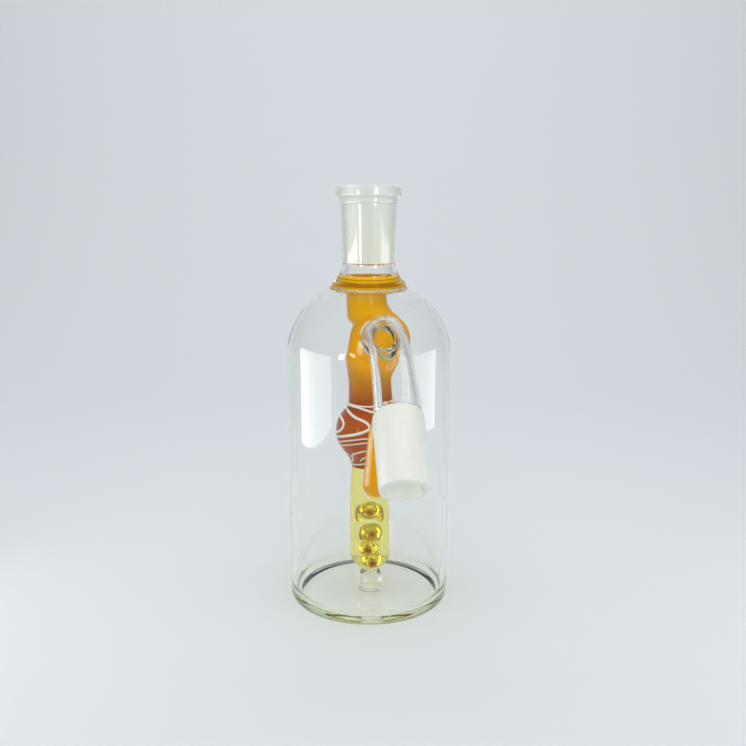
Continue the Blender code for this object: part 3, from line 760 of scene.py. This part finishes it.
def bulb_point(bearing, height, lift):
    """A point at a bearing and height, lifted off the bulb's surface."""
    out = front_direction(bearing) * (bulb_radius(height) + lift)
    return Vector((out.x + stem_x(height), out.y, height))


# White lines, as (bearing, height) stations of one third of the way round. The rings join up
# into closed waves, the leaves are open, and each has its own line radius.
RING_LINES = (
    (0.52, ((-64, 84.2), (-34, 84.1), (-6, 83.2), (12, 82.4), (32, 83.3))),
    (0.30, ((-66, 69.1), (-38, 70.9), (-18, 72.0), (-3, 72.5), (16, 71.4), (34, 69.6))),
    (0.30, ((-64, 67.5), (-31, 69.4), (-15, 70.3), (-1, 70.7), (18, 69.6), (36, 67.9))),
    (0.40, ((-62, 59.9), (-51, 61.4), (-44, 63.4), (-35, 64.8), (-26, 65.5), (-3, 67.0), (22, 65.0),
            (40, 61.8))),
    (0.42, ((-64, 58.7), (-28, 59.6), (-8, 60.3), (16, 59.8), (36, 58.9))),
)
LEAF_LINES = (
    (0.60, ((-88, 82.6), (-70, 82.2), (-49, 81.4), (-26, 80.2), (-8, 79.2), (1, 77.8), (2, 76.6), (-4, 75.6),
            (-15, 74.6), (-37, 73.1), (-71, 71.0), (-88, 70.8))),
    (0.58, ((-88, 79.4), (-72, 79.0), (-59, 78.4), (-51, 77.0), (-56, 74.8), (-72, 72.9), (-88, 72.5))),
)
EDGE_LINE = (0.34, ((-64, 84.7), (-20, 84.6), (20, 84.6)))
FAN_LINE = (0.36, ((-27, 61.0), (-15, 62.7), (-4, 63.9), (10, 63.4)))


def make_lines():
    """White stringers melted into the bulb's surface."""
    white = graded_glass("white_lines", [(57.0, (0.84, 0.84, 0.70)), (86.0, (0.92, 0.94, 0.86))], 0.12)

    def draw(name, radius, stations, closed, *nodes):
        points = smooth(stations, 8)
        if closed:
            points = points[:-1]
        path = [bulb_point(bearing, min(max(z, 57.9), 84.7), -0.2 * radius) for bearing, z in points]
        count = len(path) - 1
        radii = [radius * (1.0 if closed else min(1.0, 0.25 + 6 * min(k, count - k) / count))
                 for k in range(count + 1)]
        place(swept(name, path, radii, sides=10, closed=closed), white, "white_line_glass", *nodes)

    for index, (radius, stations) in enumerate((*RING_LINES, EDGE_LINE)):
        whole = [(bearing + 120.0 * copy, z) for copy in range(3) for bearing, z in stations]
        whole.append((stations[0][0] + 360.0, stations[0][1]))
        nodes = [f"line_ring_{index + 1}"] if index < len(RING_LINES) else []
        draw(f"white_ring_{index + 1}", radius, whole, True, *nodes)
    for copy in range(3):
        for index, (radius, stations) in enumerate(LEAF_LINES):
            number = copy * len(LEAF_LINES) + index + 1
            turned_stations = [(bearing + 120.0 * copy, z) for bearing, z in stations]
            draw(f"white_leaf_{number}", radius, turned_stations, False, f"line_leaf_{number}")
        draw(f"white_fan_{copy + 1}", FAN_LINE[0], [(b + 120.0 * copy, z) for b, z in FAN_LINE[1]], False)


# ---------------------------------------------------------------- the diffuser

FRONT_HOLES = ((39.5, 2.0), (29.9, 6.0), (22.6, -5.0), (16.9, 7.0))
BACK_HOLES = ((34.0, 140.0), (34.0, -140.0), (24.0, 165.0), (24.0, -165.0))
HOLE_RADIUS = 1.05
BEAD_RADIUS = 3.4
BEAD_DEPTH = 2.2
DIFFUSER_RADIUS = 8.5
DIFFUSER_WALL = 1.7
DIFFUSER_ROUND_Z = 18.6


def hole_place(height, bearing):
    """The middle of a hole on the diffuser's outside, before it leans, and its outward direction."""
    out = front_direction(bearing)
    drop = max(DIFFUSER_ROUND_Z - height, 0.0) / (DIFFUSER_ROUND_Z - DIFFUSER_BOTTOM_Z)
    reach = DIFFUSER_RADIUS * math.sqrt(1 - drop * drop)
    return out * reach + Vector((0, 0, height)), (out - Vector((0, 0, drop))).normalized()


def make_diffuser():
    """A thick yellow tube with a round end. Its holes are melted out, and each has a swollen bead."""
    top = BULB_BOTTOM_Z - 0.25
    side = smooth([(7.15, top), (7.4, top - 3), (8.0, top - 11), (8.4, top - 22),
                   (DIFFUSER_RADIUS, DIFFUSER_ROUND_Z + 4)], 6)
    inner_radius, inner_bottom = DIFFUSER_RADIUS - DIFFUSER_WALL, DIFFUSER_BOTTOM_Z + DIFFUSER_WALL
    outer = side + arc(DIFFUSER_RADIUS, DIFFUSER_ROUND_Z, 0.0, DIFFUSER_BOTTOM_Z, 20)
    inner = [(radius - DIFFUSER_WALL, height) for radius, height in side]
    inner += arc(inner_radius, DIFFUSER_ROUND_Z, 0.0, inner_bottom, 20)
    tube = Turned(outer + inner[::-1], step=0.12)
    holes = [hole_place(height, bearing) for height, bearing in FRONT_HOLES + BACK_HOLES]
    drills = [Pipe([spot - out * 3.5, spot + out * 4.0], [HOLE_RADIUS, HOLE_RADIUS]) for spot, out in holes]
    beads = [spot - out * BEAD_DEPTH for spot, out in holes]

    def field(x, y, z):
        straight = x - stem_x(z)
        value = tube(straight, y, z)
        for bead in beads:
            ball = np.sqrt((straight - bead.x) ** 2 + (y - bead.y) ** 2 + (z - bead.z) ** 2) - BEAD_RADIUS
            value = melt(value, ball, BEAD_FILLET)
        for drill in drills:
            value = carve(value, drill(straight, y, z), HOLE_FILLET)
        return value

    low = (-11.03, -11.03, DIFFUSER_BOTTOM_Z - 1.53)
    high = (11.5, 11.5, top + 1.5)
    diffuser = mesh_field("yellow_diffuser", field, low, high, DIFFUSER_CELL)
    glass = clear_glass("yellow_glass", (0.97, 0.92, 0.10), 330.0, 0.1, (0.97, 0.95, 0.6))
    return place(diffuser, glass, "yellow_glass", "diffuser_tube")


def make_rims():
    """Amber collars at the mouths of the holes, drawn in to a dark throat."""
    stops = [(10.0, (0.46, 0.20, 0.002)), (40.0, (0.60, 0.33, 0.003))]
    amber = graded_glass("amber_rim", stops, 0.08)
    # Distance from the hole's axis, and height above the diffuser's wall.
    profile = [(1.72, -0.5), (1.86, -0.05), (1.62, 0.32), (1.2, 0.38), (0.84, 0.1), (0.62, -0.8),
               (0.4, -2.4), (0.95, -2.4)]
    steps = 40
    for index, (height, bearing) in enumerate(FRONT_HOLES + BACK_HOLES):
        spot, out = hole_place(height, bearing)
        spot = spot + out * 1.0 + Vector((stem_x(height), 0, 0))
        across = out.cross(Vector((0, 0, 1))).normalized()
        upwards = across.cross(out)
        bm = bmesh.new()
        rings = []
        for turn in (math.tau * k / steps for k in range(steps)):
            side = across * math.cos(turn) + upwards * math.sin(turn)
            rings.append([bm.verts.new((spot + side * spread + out * lift) * MM) for spread, lift in profile])
        for ring, ahead in zip(rings, rings[1:] + rings[:1]):
            for k in range(len(profile)):
                j = (k + 1) % len(profile)
                bm.faces.new((ring[k], ring[j], ahead[j], ahead[k]))
        bmesh.ops.recalc_face_normals(bm, faces=bm.faces)
        mesh = bpy.data.meshes.new(f"amber_rim_{index + 1}")
        bm.to_mesh(mesh)
        bm.free()
        mesh.shade_smooth()
        place(link(mesh.name, mesh), amber, "amber_rim_glass", f"hole_rim_{index + 1}")


# ---------------------------------------------------------------- the drip

DRIP = (
    (6.4, -33.6, 88.0, 2.4), (5.2, -34.6, 84.5, 3.1), (3.9, -35.2, 79.5, 3.2), (3.1, -35.4, 72.9, 3.2),
    (2.8, -35.7, 66.0, 3.6), (2.6, -36.0, 60.5, 4.0),
)
DRIP_CASING = 0.9


def drip_field(grow, clearance):
    """The drip grown by a distance, cut off at a clearance from the can's wall."""
    points = smooth(DRIP, 8)
    bar = Pipe([point[:3] for point in points], [point[3] + grow for point in points])

    def field(x, y, z):
        return carve(bar(x, y, z), np.hypot(x, y) - CAN_RADIUS - clearance, DRIP_FILLET)

    return field


def make_drip():
    """The orange drip, fused into a thicker bar of clear glass."""
    low, high = (-4.03, -44.03, 52.03), (14, -30, 94)
    core = mesh_field("orange_drip", drip_field(0.0, 0.3), low, high, DRIP_CELL)
    place(core, graded_glass("drip_orange", [(54.0, GOLD_DEEP), (92.0, GOLD)]), "orange_glass", "drip_core")
    casing = mesh_field("clear_casing", drip_field(DRIP_CASING, 0.05), low, high, DRIP_CELL)
    place(casing, clear_glass("casing_glass", (0.8, 0.85, 0.6), 6.0), "clear_glass", "drip_casing")


make_stem()
make_seal()
make_bulb()
make_lines()
make_diffuser()
make_rims()
make_drip()


# ---------------------------------------------------------------- camera, floor and light


CAMERA_LENS = 41.2
CAMERA_PLACE = (0.0, -0.3477, 0.1667)
CAMERA_LOOKS_DOWN = 11.36

# The paper sweep, in metres: how far it reaches, where its floor ends and how it curves up.
SWEEP_REACH = 3.0
SWEEP_FLOOR_END = 0.36
SWEEP_CURVE = 0.5


def make_camera():
    data = bpy.data.cameras.new("camera")
    data.lens = CAMERA_LENS
    data.sensor_width = 36.0
    data.shift_x = 0.0057
    data.clip_start = 0.01
    camera = bpy.data.objects.new("camera", data)
    camera.location = CAMERA_PLACE
    camera.rotation_euler = (math.radians(90 - CAMERA_LOOKS_DOWN), 0.0, 0.0)
    bpy.context.scene.collection.objects.link(camera)
    bpy.context.scene.camera = camera


def make_stage():
    """A pale floor that curves up into a backdrop."""
    floor = -0.15 * MM
    profile = [(-SWEEP_REACH, floor), (SWEEP_FLOOR_END, floor)]
    profile += [(SWEEP_FLOOR_END + SWEEP_CURVE * math.sin(a), floor + SWEEP_CURVE - SWEEP_CURVE * math.cos(a))
                for a in (math.radians(6 * k) for k in range(1, 16))]
    profile += [(SWEEP_FLOOR_END + SWEEP_CURVE, SWEEP_REACH)]
    bm = bmesh.new()
    left = [bm.verts.new((-SWEEP_REACH, y, z)) for y, z in profile]
    right = [bm.verts.new((SWEEP_REACH, y, z)) for y, z in profile]
    for i in range(len(profile) - 1):
        bm.faces.new((left[i], right[i], right[i + 1], left[i + 1]))
    mesh = bpy.data.meshes.new("studio_sweep")
    bm.to_mesh(mesh)
    bm.free()
    mesh.shade_smooth()
    sweep = link("studio_sweep", mesh)
    material, nodes, links, shader = new_material("studio_paper")
    shader.inputs["Base Color"].default_value = (0.82, 0.85, 0.88, 1.0)
    shader.inputs["Roughness"].default_value = 0.9
    mesh.materials.append(material)


def make_light():
    world = bpy.data.worlds.new("studio")
    world.use_nodes = True
    background = world.node_tree.nodes["Background"]
    background.inputs["Color"].default_value = (0.90, 0.95, 1.0, 1.0)
    background.inputs["Strength"].default_value = 0.25
    bpy.context.scene.world = world
    # Each lamp: place, the point it faces, width, height, radiance, and its role: it lights matt
    # surfaces, shows in gloss, or shows in gloss behind clear glass too.
    lamps = (
        ("key_panel", (0.0, -0.25, 1.10), (0.0, 0.20, 0.0), 1.1, 0.9, 1.5, "matt"),
        ("fill_panel", (0.0, -0.95, 0.70), (0.0, 0.0, 0.08), 1.0, 0.8, 1.3, "matt"),
        ("backdrop_panel", (0.0, 0.05, 1.0), (0.0, 0.80, 0.35), 1.4, 0.6, 1.2, "matt"),
        ("left_panel", (-0.20, -0.065, 0.073), (0.0, -0.065, 0.073), 0.21, 0.106, 8.8, "gloss"),
        ("left_strip", (-0.22, -0.30, 0.12), (0.0, 0.0, 0.08), 0.05, 0.10, 22.0, "through"),
        ("right_panel", (0.24, -0.075, 0.073), (0.0, -0.075, 0.073), 0.23, 0.106, 6.0, "gloss"),
        ("front_lamp", (0.20, -0.42, 0.20), (0.0, 0.0, 0.15), 0.10, 0.16, 30.0, "through"),
    )
    for name, spot, target, width, height, radiance, role in lamps:
        data = bpy.data.lights.new(name, "AREA")
        data.shape = "RECTANGLE"
        data.size, data.size_y = width, height
        data.energy = radiance * math.pi * width * height
        lamp = bpy.data.objects.new(name, data)
        lamp.location = spot
        lamp.rotation_euler = (Vector(target) - Vector(spot)).to_track_quat("-Z", "Y").to_euler()
        lamp.visible_camera = False
        lamp.visible_transmission = role == "through"
        lamp.visible_diffuse = role == "matt"
        lamp.visible_glossy = role != "matt"
        bpy.context.scene.collection.objects.link(lamp)


def set_view():
    scene = bpy.context.scene
    scene.view_settings.view_transform = "Standard"
    scene.cycles.use_denoising = True
    scene.cycles.max_bounces = 48
    scene.cycles.transmission_bounces = 48
    scene.cycles.glossy_bounces = 32
    scene.cycles.diffuse_bounces = 4
    scene.cycles.transparent_max_bounces = 16


make_camera()
make_stage()
make_light()
set_view()
